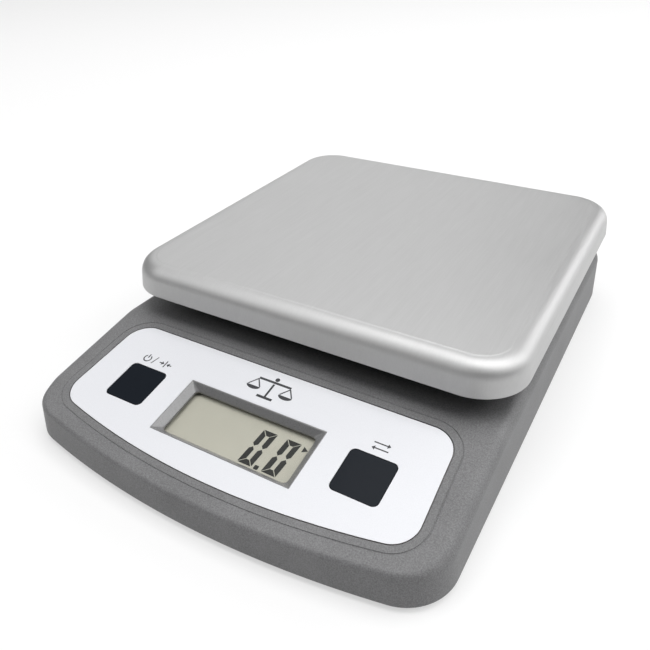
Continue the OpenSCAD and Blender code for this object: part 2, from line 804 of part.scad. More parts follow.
module battery_contacts() {
    y1 = bay_l / 2;
    color(screw_colour) translate([bay_x, bay_y, battery_z]) {
        block(-13, 13, y1 - contact_t, y1, -5.5, 5.5);
        for (s = [-1, 1]) translate([s * battery_pitch / 2, 0, 0])
            block(-5.5, 5.5, -y1, -y1 + contact_t, -5.5, 5.5);
    }
}

module battery_leads() {
    front = bay_y - bay_l / 2 - bay_wall - 0.1;
    color("#b5352c") {
        tube(smooth([[28.5, front, 9], [28, -14, 8], [27, -26, 6.5], [24.5, -38, 7.5],
            [21.5, -47, plug_z - 0.7], [21, plug_y, plug_z]], 3), 0.7);
        tube(smooth([[43.5, front, 9], [42, -14, 8], [34, -26, 6.5], [27, -38, 7.5],
            [23.5, -47, plug_z - 0.7], [23, plug_y, plug_z]], 3), 0.7);
    }
}

module dc_jack() {
    nose_y = rear_y - wall - 1.3;
    color(black_plastic) difference() {
        union() {
            translate([jack_x, 0, jack_z]) block(-5, 5, 90, nose_y, -5, 5);
            translate([jack_x, rear_y, jack_z]) rotate([90, 0, 0])
                rod(jack_nose_r, 0, rear_y - nose_y + 1);
        }
        translate([jack_x, rear_y + 1, jack_z]) rotate([90, 0, 0]) rod(jack_bore_r, 0, 11.5);
    }
}

module jack_pin() {
    color(screw_colour) translate([jack_x, rear_y - 1, jack_z]) rotate([90, 0, 0])
        rod(1.05, 0, 9.5);
}

module jack_leads() {
    color("#2f3133") for (s = [-1, 1]) tube(smooth([[jack_x + 6 * s / 2.4, 87.6, 9.5],
        [-39 + 2 * s, 80, 8], [-35 + 1.2 * s, 62, 6], [-30 + 1.2 * s, 30, 6],
        [-27 + 1.2 * s, 0, 6], [-25.5 + 1.2 * s, -28, 6.5], [-25 + 1.2 * s, -46, plug_z - 0.9],
        [-25 + 1.2 * s, plug_y, plug_z]], 3), 0.7);
}

lower_housing();
upper_housing();
panel_overlay();
display_bezel();
display_lens();
lcd_glass();
lcd_segments();
lcd_holder();
zebra_strip();
main_board();
controller_chip();
adc_chip();
filter_capacitors();
board_connectors();
board_screws();
tact_switches();
key_cap(-1);  // tare_key
key_cap(1);  // unit_key
switch_plunger(-1);  // tare_switch_plunger
switch_plunger(1);  // unit_switch_plunger
load_cell();
strain_gauges();
cell_spacer_lower();
cell_spacer_upper();
cell_screws_lower();
cell_screws_upper();
load_cell_cable();
platform_support();
overload_stops();
platform_pads();
weighing_platform();
battery_cell_1();
battery_cell_2();
battery_springs();
battery_contacts();
battery_leads();
battery_door();
dc_jack();
jack_pin();
jack_leads();
housing_screws();
rubber_feet();
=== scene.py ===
import math

import bmesh
import bpy
from mathutils import Matrix, Vector


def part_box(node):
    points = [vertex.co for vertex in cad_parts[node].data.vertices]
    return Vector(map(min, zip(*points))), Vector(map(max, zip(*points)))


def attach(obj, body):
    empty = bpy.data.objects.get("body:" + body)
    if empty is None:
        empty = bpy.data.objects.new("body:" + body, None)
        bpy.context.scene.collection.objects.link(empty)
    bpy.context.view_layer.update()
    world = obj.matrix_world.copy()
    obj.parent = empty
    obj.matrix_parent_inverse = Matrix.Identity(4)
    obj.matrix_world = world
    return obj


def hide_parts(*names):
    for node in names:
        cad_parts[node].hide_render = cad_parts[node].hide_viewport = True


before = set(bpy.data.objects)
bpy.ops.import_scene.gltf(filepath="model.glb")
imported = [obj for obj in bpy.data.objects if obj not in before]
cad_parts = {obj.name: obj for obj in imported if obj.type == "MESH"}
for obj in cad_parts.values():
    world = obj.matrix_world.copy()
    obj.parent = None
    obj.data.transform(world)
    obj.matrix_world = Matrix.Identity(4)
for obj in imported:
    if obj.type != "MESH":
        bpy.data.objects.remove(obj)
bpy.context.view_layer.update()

MM = 0.001

# ---------------------------------------------------------------- places taken from the frame

BODY_LO, BODY_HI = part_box("upper_housing")
PAN_LO, PAN_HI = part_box("weighing_platform")

HALF_W = BODY_HI.x / MM
FRONT_Y = BODY_LO.y / MM
REAR_Y = BODY_HI.y / MM
SKIRT_Z = BODY_LO.z / MM

# the body's form in millimetres and degrees: the frame's, apart from a tighter front shoulder,
# front and side walls that lean inwards by WALL_DRAFT, and a rounded edge at the skirt's foot
PANEL_ANGLE = 10.2
FRONT_H = 9.6
DECK_H = 20.1
BOW_R = 322.0
FRONT_CORNER_R = 16.3
REAR_CORNER_R = 19.0
SHOULDER_R = 4.2
FRONT_SHOULDER_R = 1.4
LEAST_SHOULDER_R = 0.4
WALL_DRAFT = 1.0
WALL = 2.2
SKIRT_EDGE_R = 0.35
SLOPE = math.tan(math.radians(PANEL_ANGLE))
DECK_Z = SKIRT_Z + DECK_H
FOLD_Y = FRONT_Y + (DECK_H - FRONT_H) / SLOPE
FOLD_BLEND = 2.0

# distance of the display's middle from the front edge, and heights over the panel's plane
DISPLAY_SET = 28.0
RECESS_DEPTH = 0.5
ADHESIVE_TOP = -0.26
OVERLAY_TOP = -0.05
INK_T = 0.02

# the label and what it leaves open, in the panel's plane
LABEL_BACK = 26.1
LABEL_FRONT = -19.9
LABEL_BOW_R = 280.0
LABEL_HALF_W = 62.4
LABEL_FLARE = 2.5
LABEL_CORNER_R = 8.5
LABEL_GAP = 0.35
GROOVE_OFFSET = 2.82
GROOVE_W = 0.55
GROOVE_DEPTH = 0.24
WINDOW = (52.1, 22.1)
KEY_W = 15.2
KEY_U = 43.2
KEY_V = 1.7
KEY_ROUND = 8

# the platform: plan at its rim, rolled upper edge and leaning walls
PAN_CORNER_R = 17.0
PAN_ROLL_R = 5.8
PAN_DRAFT = 0.6
SHEET = 0.8
PAN_CREASE = 0.12
PAN_Z0 = PAN_LO.z / MM
PAN_Z1 = PAN_HI.z / MM
PAN_LEAN = math.atan(PAN_DRAFT / (PAN_Z1 - PAN_Z0 - PAN_ROLL_R))

PANEL = Matrix.Translation((0, (FRONT_Y + DISPLAY_SET) * MM,
                            (SKIRT_Z + FRONT_H + DISPLAY_SET * SLOPE) * MM))
PANEL = PANEL @ Matrix.Rotation(math.radians(PANEL_ANGLE), 4, "X")


# ---------------------------------------------------------------- outlines, in millimetres

def arc(cx, cy, r, a0, a1, n):
    """Points along a circle's arc from a0 to a1 degrees, in n steps."""
    points = []
    for k in range(n + 1):
        a = math.radians(a0 + (a1 - a0) * k / n)
        points.append((cx + r * math.cos(a), cy + r * math.sin(a)))
    return points


def both_sides(half):
    """A closed ring from its right half, which starts on the centre line at the front."""
    return half + [(-x, y) for x, y in reversed(half[1:])]


def rounded(w, h, r, n=8, cx=0.0, cy=0.0):
    """A rectangle with rounded corners of n steps each, about cx, cy."""
    x, y = w / 2 - r, h / 2 - r
    return (arc(cx + x, cy + y, r, 0, 90, n) + arc(cx - x, cy + y, r, 90, 180, n)
            + arc(cx - x, cy - y, r, 180, 270, n) + arc(cx + x, cy - y, r, 270, 360, n))


def body_plan(inset):
    """Plan of the body, moved inwards by inset."""
    cx = HALF_W - FRONT_CORNER_R
    end = math.degrees(math.asin(cx / (BOW_R - FRONT_CORNER_R)))
    bow_y = FRONT_Y + BOW_R
    cy = bow_y - (BOW_R - FRONT_CORNER_R) * math.cos(math.radians(end))
    half_steps = 4
    fold = [(HALF_W - inset, FOLD_Y + k * FOLD_BLEND / half_steps)
            for k in range(-half_steps, half_steps + 1)]
    front = arc(0, bow_y, BOW_R - inset, -90, end - 90, 20)
    corner = arc(cx, cy, FRONT_CORNER_R - inset, end - 90, 0, 18)[1:]
    rear = arc(HALF_W - REAR_CORNER_R, REAR_Y - REAR_CORNER_R, REAR_CORNER_R - inset, 0, 90, 18)
    return both_sides(front + corner + fold + rear)


def pan_plan(inset):
    """Plan of the platform, moved inwards by inset."""
    w = (PAN_HI.x - PAN_LO.x) / MM
    d = (PAN_HI.y - PAN_LO.y) / MM
    cy = (PAN_HI.y + PAN_LO.y) / 2 / MM
    return rounded(w - 2 * inset, d - 2 * inset, PAN_CORNER_R - inset, 24, 0, cy)


def label_plan(grow):
    """Outline of the label film in the panel's plane, moved outwards by grow."""
    flare = math.radians(LABEL_FLARE)
    normal = Vector((math.cos(flare), math.sin(flare)))
    along = Vector((math.sin(flare), -math.cos(flare)))
    bow = Vector((0, LABEL_FRONT + LABEL_BOW_R))
    edge = Vector((LABEL_HALF_W, LABEL_BACK)) - LABEL_CORNER_R * normal
    back_c = edge + LABEL_CORNER_R * (1 - math.sin(flare)) / math.cos(flare) * along
    q = edge - bow
    s = -q.dot(along) + math.sqrt(q.dot(along) ** 2 - q.dot(q)
                                  + (LABEL_BOW_R - LABEL_CORNER_R) ** 2)
    front_c = bow + q + s * along
    bow_end = math.degrees(math.atan2(front_c.y - bow.y, front_c.x))
    r = LABEL_CORNER_R + grow
    return both_sides(
        arc(bow.x, bow.y, LABEL_BOW_R + grow, -90, bow_end, 24)
        + arc(front_c.x, front_c.y, r, bow_end, LABEL_FLARE, 16)[1:]
        + arc(back_c.x, back_c.y, r, LABEL_FLARE, 90, 16))


def top_z(y):
    """Height of the body's top over a place along its depth, with a soft fold."""
    t = (y - FOLD_Y + FOLD_BLEND) / (2 * FOLD_BLEND)
    if t <= 0:
        return SKIRT_Z + FRONT_H + (y - FRONT_Y) * SLOPE
    if t >= 1:
        return DECK_Z
    return DECK_Z - SLOPE * FOLD_BLEND * (1 - t) ** 2


# ---------------------------------------------------------------- mesh building

# angles in degrees and distances in metres
SHARP_FROM = 32
BEVEL_FROM = 40
FLAT_WITHIN = 1
CLEAN_DISTANCE = 0.002 * MM
MERGE_DISTANCE = 0.001 * MM


def new_object(name, verts, faces, matrix=Matrix.Identity(4)):
    """A mesh object in metres from points in millimetres, with its place in its mesh."""
    mesh = bpy.data.meshes.new(name)
    mesh.from_pydata([matrix @ (Vector(v) * MM) for v in verts], [], faces)
    mesh.update()
    obj = bpy.data.objects.new(name, mesh)
    bpy.context.scene.collection.objects.link(obj)
    bm = bmesh.new()
    bm.from_mesh(mesh)
    bmesh.ops.recalc_face_normals(bm, faces=bm.faces)
    bm.to_mesh(mesh)
    bm.free()
    return obj


def loft(name, rings, matrix=Matrix.Identity(4), closed=False, strips=False):
    """A solid through rings of equal length: capped at both ends, or closed on itself."""
    n = len(rings[0])
    verts = [p for ring in rings for p in ring]
    faces = []
    last = len(rings) if closed else len(rings) - 1
    for k in range(last):
        a, b = k * n, ((k + 1) % len(rings)) * n
        faces += [(a + j, a + (j + 1) % n, b + (j + 1) % n, b + j) for j in range(n)]
    if not closed:
        top = (len(rings) - 1) * n
        faces.append(tuple(reversed(range(n))))
        if strips:  # the last cap as quads from side to side, because it isn't flat
            faces.append((top, top + 1, top + n - 1))
            faces += [(top + j, top + j + 1, top + n - j - 1, top + n - j)
                      for j in range(1, (n - 1) // 2)]
        else:
            faces.append(tuple(range(top, top + n)))
    return new_object(name, verts, faces, matrix)


def at(outline, z):
    """An outline's points at one height."""
    return [(x, y, z) for x, y in outline]


def prism(name, outline, z0, z1, matrix=Matrix.Identity(4)):
    """A straight solid over an outline."""
    return loft(name, [at(outline, z0), at(outline, z1)], matrix)


def soft_prism(name, plan, z0, z1, edge, matrix=Matrix.Identity(4), steps=3, foot=True):
    """A prism whose top edge, and foot if asked, are rounded; plan(inset) gives its outline."""
    rings = []
    if foot:
        for k in range(steps + 1):
            a = math.pi / 2 * k / steps
            rings.append(at(plan(edge * (1 - math.sin(a))), z0 + edge * (1 - math.cos(a))))
    else:
        rings.append(at(plan(0), z0))
    for k in range(steps + 1):
        a = math.pi / 2 * k / steps
        rings.append(at(plan(edge * (1 - math.cos(a))), z1 - edge * (1 - math.sin(a))))
    return loft(name, rings, matrix)


def lathe(name, profile, matrix=Matrix.Identity(4), n=48):
    """A turned piece about Z from (radius, height) points that start and end on the axis."""
    verts, faces = [], []
    inner = profile[1:-1]
    for r, z in inner:
        verts += [(r * math.cos(2 * math.pi * j / n), r * math.sin(2 * math.pi * j / n), z)
                  for j in range(n)]
    for k in range(len(inner) - 1):
        faces += [(k * n + j, k * n + (j + 1) % n, (k + 1) * n + (j + 1) % n, (k + 1) * n + j)
                  for j in range(n)]
    faces.append(tuple(reversed(range(n))))
    faces.append(tuple(range((len(inner) - 1) * n, len(inner) * n)))
    return new_object(name, verts, faces, matrix)


def join(name, objects):
    """One object from several whose meshes are in place."""
    bm = bmesh.new()
    for o in objects:
        bm.from_mesh(o.data)
    mesh = bpy.data.meshes.new(name)
    bm.to_mesh(mesh)
    bm.free()
    for o in objects:
        bpy.data.objects.remove(o)
    obj = bpy.data.objects.new(name, mesh)
    bpy.context.scene.collection.objects.link(obj)
    return obj


def carve(obj, cutters, operation="DIFFERENCE"):
    """Applies exact booleans to obj with each cutter, and removes the cutters."""
    for c in cutters:
        mod = obj.modifiers.new("cut", "BOOLEAN")
        mod.operation = operation
        mod.solver = "EXACT"
        mod.object = c
        apply_modifiers(obj)
        bpy.data.objects.remove(c)
    return obj


def apply_modifiers(obj):
    """Puts what the modifiers make into the object's mesh."""
    deps = bpy.context.evaluated_depsgraph_get()
    mesh = bpy.data.meshes.new_from_object(obj.evaluated_get(deps))
    obj.modifiers.clear()
    obj.data = mesh
    return obj


def shade(obj):
    """Smooth shading with sharp edges kept, and flat faces that stay flat."""
    mesh = obj.data
    mesh.polygons.foreach_set("use_smooth", [True] * len(mesh.polygons))
    mesh.set_sharp_from_angle(angle=math.radians(SHARP_FROM))
    mod = obj.modifiers.new("weighted", "WEIGHTED_NORMAL")
    mod.keep_sharp = True
    mod.weight = 80
    return obj


def clean(obj):
    """Merges the doubled points and drops the needle faces that booleans leave."""
    bm = bmesh.new()
    bm.from_mesh(obj.data)
    bmesh.ops.remove_doubles(bm, verts=bm.verts, dist=CLEAN_DISTANCE)
    bmesh.ops.dissolve_degenerate(bm, edges=bm.edges, dist=CLEAN_DISTANCE)
    bm.to_mesh(obj.data)
    bm.free()
    return obj


def bevelled_copy(node, name, width):
    """A copy of a CAD node's mesh with its edges broken by a small round."""
    obj = bpy.data.objects.new(name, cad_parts[node].data.copy())
    obj.data.materials.clear()
    bpy.context.scene.collection.objects.link(obj)
    bm = bmesh.new()
    bm.from_mesh(obj.data)
    bmesh.ops.remove_doubles(bm, verts=bm.verts, dist=MERGE_DISTANCE)
    bmesh.ops.dissolve_limit(bm, angle_limit=math.radians(FLAT_WITHIN), verts=bm.verts,
                             edges=bm.edges)
    bm.to_mesh(obj.data)
    bm.free()
    mod = obj.modifiers.new("bevel", "BEVEL")
    mod.width = width * MM
    mod.segments = 2
    mod.limit_method = "ANGLE"
    mod.angle_limit = math.radians(BEVEL_FROM)
    apply_modifiers(obj)
    return shade(obj)


# ---------------------------------------------------------------- materials

class Nodes:
    """Short calls for building a material's node tree."""

    def __init__(self, name):
        self.material = bpy.data.materials.new(name)
        self.material.use_nodes = True
        self.tree = self.material.node_tree
        self.shader = self.tree.nodes["Principled BSDF"]
        self.coord = self.add("ShaderNodeTexCoord").outputs["Object"]

    def add(self, kind, **values):
        node = self.tree.nodes.new(kind)
        for key, value in values.items():
            setattr(node, key, value)
        return node

    def feed(self, socket, value):
        """Links a socket's value, or sets a plain one."""
        if isinstance(value, bpy.types.NodeSocket):
            self.tree.links.new(value, socket)
        else:
            socket.default_value = value

    def set(self, **values):
        """Feeds the shader's inputs, whose names have _ for a space."""
        for key, value in values.items():
            self.feed(self.shader.inputs[key.replace("_", " ")], value)
        return self

    def stretched(self, scale):
        """Object coordinates scaled by three factors, for lines and fibres."""
        mapping = self.add("ShaderNodeMapping")
        self.feed(mapping.inputs["Vector"], self.coord)
        mapping.inputs["Scale"].default_value = scale
        return mapping.outputs["Vector"]

    def noise(self, scale, detail=3.0, roughness=0.55, vector=None):
        node = self.add("ShaderNodeTexNoise")
        self.feed(node.inputs["Vector"], vector or self.coord)
        node.inputs["Scale"].default_value = scale
        node.inputs["Detail"].default_value = detail
        node.inputs["Roughness"].default_value = roughness
        return node.outputs["Fac"]

    def ramp(self, fac, low, high, a=0.3, b=0.7):
        """Maps fac from a..b to low..high, which are both numbers or both colours."""
        if not isinstance(low, tuple):
            node = self.add("ShaderNodeMapRange")
            for key, value in (("Value", fac), ("From Min", a), ("From Max", b),
                               ("To Min", low), ("To Max", high)):
                self.feed(node.inputs[key], value)
            return node.outputs["Result"]
        node = self.add("ShaderNodeValToRGB")
        self.feed(node.inputs["Fac"], fac)
        for element, place, colour in zip(node.color_ramp.elements, (a, b), (low, high)):
            element.position = place
            element.color = (*colour, 1.0)
        return node.outputs["Color"]

    def math(self, operation, a, b=0.0):
        node = self.add("ShaderNodeMath")
        node.operation = operation
        self.feed(node.inputs[0], a)
        self.feed(node.inputs[1], b)
        return node.outputs["Value"]

    def bump(self, height, distance, strength):
        node = self.add("ShaderNodeBump")
        node.inputs["Strength"].default_value = strength
        node.inputs["Distance"].default_value = distance
        self.feed(node.inputs["Height"], height)
        return node.outputs["Normal"]


def linear(*srgb):
    """Scene-linear colour from 0..255 display values."""
    return tuple(c / 12.92 if c <= 0.04045 else ((c + 0.055) / 1.055) ** 2.4
                 for c in (v / 255 for v in srgb))


def around(colour, spread):
    """A colour made darker and lighter by a share of itself."""
    return tuple(c * (1 - spread) for c in colour), tuple(c * (1 + spread) for c in colour)


def moulded(name, colour, grain=2600.0, spread=0.10, rough=(0.42, 0.55), bump=0.02,
            specular=0.4):
    """Moulded plastic with a fine spark-eroded texture and slight mottling."""
    n = Nodes(name)
    fine = n.noise(grain, 2.0, 0.6)
    broad = n.noise(55.0, 3.0)
    dark, light = around(colour, spread)
    mixed = n.math("ADD", n.math("MULTIPLY", fine, 0.8), n.math("MULTIPLY", broad, 0.2))
    n.set(Base_Color=n.ramp(mixed, dark, light, 0.35, 0.65),
          Roughness=n.ramp(fine, rough[0], rough[1]),
          Normal=n.bump(fine, bump * MM, 0.7))
    n.shader.inputs["Specular IOR Level"].default_value = specular
    return n.material


def brushed_steel():
    """Stainless sheet brushed in fine straight lines along the depth of the platform."""
    n = Nodes("stainless_brushed")
    lines = n.noise(1.0, 4.0, 0.65, n.stretched((3600, 60, 900)))
    wide = n.noise(1.0, 3.0, 0.6, n.stretched((420, 40, 120)))
    broad = n.noise(18.0, 2.0)
    both = n.math("ADD", n.math("MULTIPLY", lines, 0.7), n.math("MULTIPLY", wide, 0.3))
    n.set(Base_Color=n.ramp(both, (0.515, 0.515, 0.515), (0.57, 0.57, 0.57), 0.3, 0.7),
          Roughness=n.ramp(n.math("ADD", n.math("MULTIPLY", both, 0.6),
                                  n.math("MULTIPLY", broad, 0.4)), 0.52, 0.6),
          Normal=n.bump(both, 0.012 * MM, 0.5))
    n.shader.inputs["Metallic"].default_value = 1.0
    return n.material


def label_film():
    """Silver-white printed film with a very fine pearl."""
    n = Nodes("label_film")
    pearl = n.noise(5200.0, 1.0)
    broad = n.noise(30.0, 2.0)
    n.set(Base_Color=n.ramp(pearl, linear(218, 219, 223), linear(223, 224, 228), 0.35, 0.65),
          Roughness=n.ramp(broad, 0.34, 0.42),
          Normal=n.bump(pearl, 0.002 * MM, 0.3))
    n.shader.inputs["Specular IOR Level"].default_value = 0.5
    return n.material


def satin(name, colour, rough=(0.28, 0.36), grain=1800.0, bump=0.003, spread=0.05, metal=0.0,
          specular=0.5):
    """Smooth satin surface with the slightest unevenness."""
    n = Nodes(name)
    fine = n.noise(grain, 2.0)
    smear = n.noise(60.0, 4.0, 0.6)
    dark, light = around(colour, spread)
    n.set(Base_Color=n.ramp(fine, dark, light),
          Roughness=n.ramp(smear, rough[0], rough[1]),
          Normal=n.bump(fine, bump * MM, 0.4))
    n.shader.inputs["Metallic"].default_value = metal
    n.shader.inputs["Specular IOR Level"].default_value = specular
    return n.material


def display_face():
    """Reflective liquid-crystal face: grey-green with a faint fibre in its reflector."""
    n = Nodes("display_face")
    fibre = n.noise(1.0, 3.0, 0.6, n.stretched((2600, 700, 1200)))
    broad = n.noise(40.0, 2.0)
    mixed = n.math("ADD", n.math("MULTIPLY", fibre, 0.6), n.math("MULTIPLY", broad, 0.4))
    n.set(Base_Color=n.ramp(mixed, linear(186, 184, 170), linear(193, 191, 177), 0.35, 0.65),
          Roughness=n.ramp(broad, 0.42, 0.5),
          Normal=n.bump(fibre, 0.002 * MM, 0.3))
    return n.material


def clear_pane():
    """Clear acrylic pane: see-through, with the reflections of its polished faces."""
    n = Nodes("clear_pane")
    haze = n.noise(400.0, 2.0)
    n.set(Base_Color=n.ramp(haze, (0.05, 0.06, 0.05), (0.08, 0.09, 0.08)),
          Roughness=n.ramp(haze, 0.03, 0.06))
    n.shader.inputs["Alpha"].default_value = 0.05
    n.shader.inputs["IOR"].default_value = 1.49
    return n.material


def circuit_board():
    """Green solder mask with copper tracks just showing through it."""
    n = Nodes("circuit_board")
    tracks = n.add("ShaderNodeTexVoronoi", distance="CHEBYCHEV", feature="DISTANCE_TO_EDGE")
    n.feed(tracks.inputs["Vector"], n.coord)
    tracks.inputs["Scale"].default_value = 260.0
    fine = n.noise(900.0, 2.0)
    n.set(Base_Color=n.ramp(tracks.outputs["Distance"], (0.03, 0.20, 0.09), (0.012, 0.11, 0.05),
                            0.02, 0.06),
          Roughness=n.ramp(fine, 0.28, 0.4),
          Normal=n.bump(tracks.outputs["Distance"], 0.02 * MM, 0.4))
    return n.material


def striped(name, dark, light, per_metre, axis=0, rough=0.6):
    """Narrow stripes across one axis, for conductive rubber and printed jackets."""
    n = Nodes(name)
    scale = [0.001, 0.001, 0.001]
    scale[axis] = per_metre
    wave = n.add("ShaderNodeTexWave", wave_type="BANDS", bands_direction="XYZ"[axis])
    n.feed(wave.inputs["Vector"], n.stretched(tuple(scale)))
    wave.inputs["Scale"].default_value = 1.0
    fine = n.noise(1500.0, 2.0)
    n.set(Base_Color=n.ramp(wave.outputs["Fac"], dark, light, 0.45, 0.55),
          Roughness=n.ramp(fine, rough - 0.06, rough + 0.06),
          Normal=n.bump(fine, 0.004 * MM, 0.4))
    return n.material


MATERIALS = {
    "housing": moulded("housing_plastic", linear(115, 115, 116), spread=0.26, rough=(0.46, 0.54),
                       specular=0.3),
    "dark": moulded("dark_plastic", linear(56, 57, 60), rough=(0.45, 0.6)),
    "label": label_film(),
    "ink": satin("label_ink", linear(46, 47, 51), rough=(0.45, 0.55)),
    "adhesive": satin("label_adhesive", linear(86, 75, 66), rough=(0.5, 0.6)),
    "bezel": moulded("bezel_plastic", linear(122, 122, 123), grain=4200.0, spread=0.04,
                     rough=(0.26, 0.32), bump=0.004, specular=1.0),
    "pane": clear_pane(),
    "display": display_face(),
    "segment": satin("display_segment", linear(25, 25, 23), rough=(0.5, 0.6), spread=0.12),
    "white": moulded("natural_plastic", linear(216, 212, 202), grain=3000.0, spread=0.03,
                     bump=0.008),
    "zebra": striped("contact_rubber", (0.03, 0.04, 0.06), (0.25, 0.22, 0.18), 3000.0),
    "board": circuit_board(),
    "chip": moulded("chip_black", linear(34, 35, 37), grain=4000.0, spread=0.15),
    "capacitor": satin("capacitor_sleeve", (0.03, 0.06, 0.2)),
    "key": satin("key_plastic", linear(27, 31, 37), rough=(0.2, 0.26), grain=3800.0,
                 specular=0.06),
    "screw": satin("zinc_plate", (0.55, 0.55, 0.56), rough=(0.24, 0.36), metal=1.0),
    "aluminium": satin("machined_aluminium", (0.70, 0.71, 0.72), rough=(0.3, 0.42), metal=1.0),
    "gauge": satin("gauge_coating", linear(222, 214, 190), rough=(0.4, 0.5)),
    "cable": satin("cable_sheath", linear(138, 141, 146), rough=(0.5, 0.6)),
    "red": satin("lead_red", linear(170, 38, 30), rough=(0.42, 0.5)),
    "black": satin("lead_black", linear(42, 43, 45), rough=(0.42, 0.5)),
    "steel": brushed_steel(),
    "pad": satin("pad_silicone", linear(210, 210, 205), rough=(0.5, 0.62)),
    "jacket": striped("battery_jacket", (0.02, 0.05, 0.14), (0.05, 0.11, 0.26), 60.0, 1, 0.3),
    "contact": satin("contact_nickel", (0.62, 0.61, 0.58), rough=(0.2, 0.32), metal=1.0),
    "jack": satin("jack_plastic", linear(30, 30, 32), rough=(0.35, 0.45)),
    "rubber": moulded("foot_rubber", linear(44, 44, 46), grain=2200.0, rough=(0.68, 0.82),
                      bump=0.03, specular=0.25),
}


def finish_piece(obj, material, body, node=None):
    """Gives a new piece its material and the body it rides on, and the node it stands for."""
    obj.data.materials.clear()
    obj.data.materials.append(MATERIALS[material])
    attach(obj, body)
    if node:
        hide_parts(*([node] if isinstance(node, str) else node))
    return obj


# ---------------------------------------------------------------- housings

def eased(x, start, width):
    """0 before start, 1 past start + width, and a soft change between them."""
    t = min(max((x - start) / width, 0), 1)
    return t * t * (3 - 2 * t)


def shoulder_at(n, trim):
    """Shoulder radius where the plan's outward direction is n: tight at the front, less trim."""
    r = SHOULDER_R + (FRONT_SHOULDER_R - SHOULDER_R) * eased(-n.y, 0.25, 0.7)
    return max(r - trim, LEAST_SHOULDER_R)


def draft_at(n):
    """How far the wall leans inwards up to its shoulder: not at all at the rear."""
    return WALL_DRAFT * (1 - eased(n.y, 0.3, 0.6))


def body_rings(inset, foot, steps, foot_round=0.0):
    """Rings up the body's form, moved inwards by inset on all sides."""
    outer = [Vector(p) for p in body_plan(0)]
    normals = [p - Vector(q) for p, q in zip(outer, body_plan(1))]
    rings = []
    if foot_round:
        foot_steps = 3
        for k in range(foot_steps + 1):
            a = math.pi / 2 * k / foot_steps
            rings.append(at(body_plan(inset + foot_round * (1 - math.sin(a))),
                            foot + foot_round * (1 - math.cos(a))))
    else:
        rings.append(at(body_plan(inset), foot))
    for k in range(steps + 1):
        ring = []
        for p, n in zip(outer, normals):
            r, draft = shoulder_at(n, inset), draft_at(n)
            lean = math.atan(draft / (top_z(p.y) - inset - r - foot))
            a = lean + (math.pi / 2 - lean) * k / steps
            q = p - (inset + draft + r * (math.cos(lean) - math.cos(a))) * n
            ring.append((q.x, q.y, top_z(q.y) - inset - r * (1 - math.sin(a))))
        rings.append(ring)
    return rings


def recess_cutter(rim=0.06):
    """A cutter for the label's recess that leaves its rim slightly broken."""
    return loft("cut_recess", [at(label_plan(LABEL_GAP), -RECESS_DEPTH),
                               at(label_plan(LABEL_GAP), -rim), at(label_plan(LABEL_GAP + rim), 0),
                               at(label_plan(LABEL_GAP + rim + 1), 1)], PANEL)


def groove_cutter():
    """A cutter for the round-bottomed groove round the label."""
    lift = 0.25
    edge, side, low = GROOVE_W / 2, GROOVE_W * 0.32, -GROOVE_DEPTH * 0.75
    profile = [(-edge - lift, lift), (-edge, 0.0), (-side, low), (0, -GROOVE_DEPTH), (side, low),
               (edge, 0.0), (edge + lift, lift)]
    return loft("cut_groove", [at(label_plan(GROOVE_OFFSET + u), w) for u, w in profile], PANEL,
                closed=True)


def hub_hole():
    """The deck's hole for the platform's hub: the raised rim to add and the hole to cut."""
    lo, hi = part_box("cell_spacer_upper")
    y = (lo.y + hi.y) / 2 / MM
    w, length, r = 20.7, 38.0, 5
    rim_t, rim_h = 1.5, 1.2

    def rim_plan(inset):
        grow = 2 * (rim_t - inset)
        return rounded(w + grow, length + grow, r + rim_t - inset, 8, 0, y)

    rim = soft_prism("hub_rim", rim_plan, DECK_Z - 1, DECK_Z + rim_h, 0.4)
    return rim, prism("cut_hub", rounded(w, length, r, 8, 0, y), DECK_Z - 5, DECK_Z + 3)


def jack_cutter():
    """A cutter for the power inlet's hole in the rear wall, with its outer edge broken."""
    lo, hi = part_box("dc_jack")
    r, edge = 4.15, 0.4
    rear = Matrix.Translation(((lo.x + hi.x) / 2, REAR_Y * MM, (lo.z + hi.z) / 2))
    rear = rear @ Matrix.Rotation(math.radians(-90), 4, "X")
    return lathe("cut_jack", [(0, -6), (r, -6), (r, -edge), (r + edge, 0), (r + edge + 1, 1),
                              (0, 1)], rear)


def build_upper_housing():
    shell = loft("upper_shell", body_rings(0, SKIRT_Z, 10, SKIRT_EDGE_R), strips=True)
    hollow = loft("upper_hollow", body_rings(WALL, SKIRT_Z - 1, 5), strips=True)
    window_gap, key_gap, low, high = 0.3, 0.7, -4, 0.2
    rim, hub = hub_hole()
    window = rounded(WINDOW[0] + window_gap, WINDOW[1] + window_gap, 0.5)
    w = KEY_W + key_gap
    keys = [prism("cut_key", rounded(w, w, 2.2, KEY_ROUND, side * KEY_U, KEY_V), low, high, PANEL)
            for side in (-1, 1)]
    carve(shell, [rim], "UNION")
    carve(shell, [hollow, recess_cutter(), groove_cutter(),
                  prism("cut_window", window, low, high, PANEL), *keys, hub, jack_cutter()])
    shell.name = "upper_housing_shell"
    shade(clean(shell))
    return finish_piece(shell, "housing", "base", "upper_housing")


# ---------------------------------------------------------------- control panel

def label_openings(slack):
    """Cutters for the window and the two keys, wider by slack."""
    cutters = [prism("cut_window", rounded(WINDOW[0] + 0.1 + slack, WINDOW[1] + 0.1 + slack, 0.3),
                     -2, 1, PANEL)]
    for side in (-1, 1):
        w = KEY_W + 0.3 + slack
        outline = rounded(w, w, 1.95, KEY_ROUND, side * KEY_U, KEY_V)
        cutters.append(prism("cut_key", outline, -2, 1, PANEL))
    return cutters


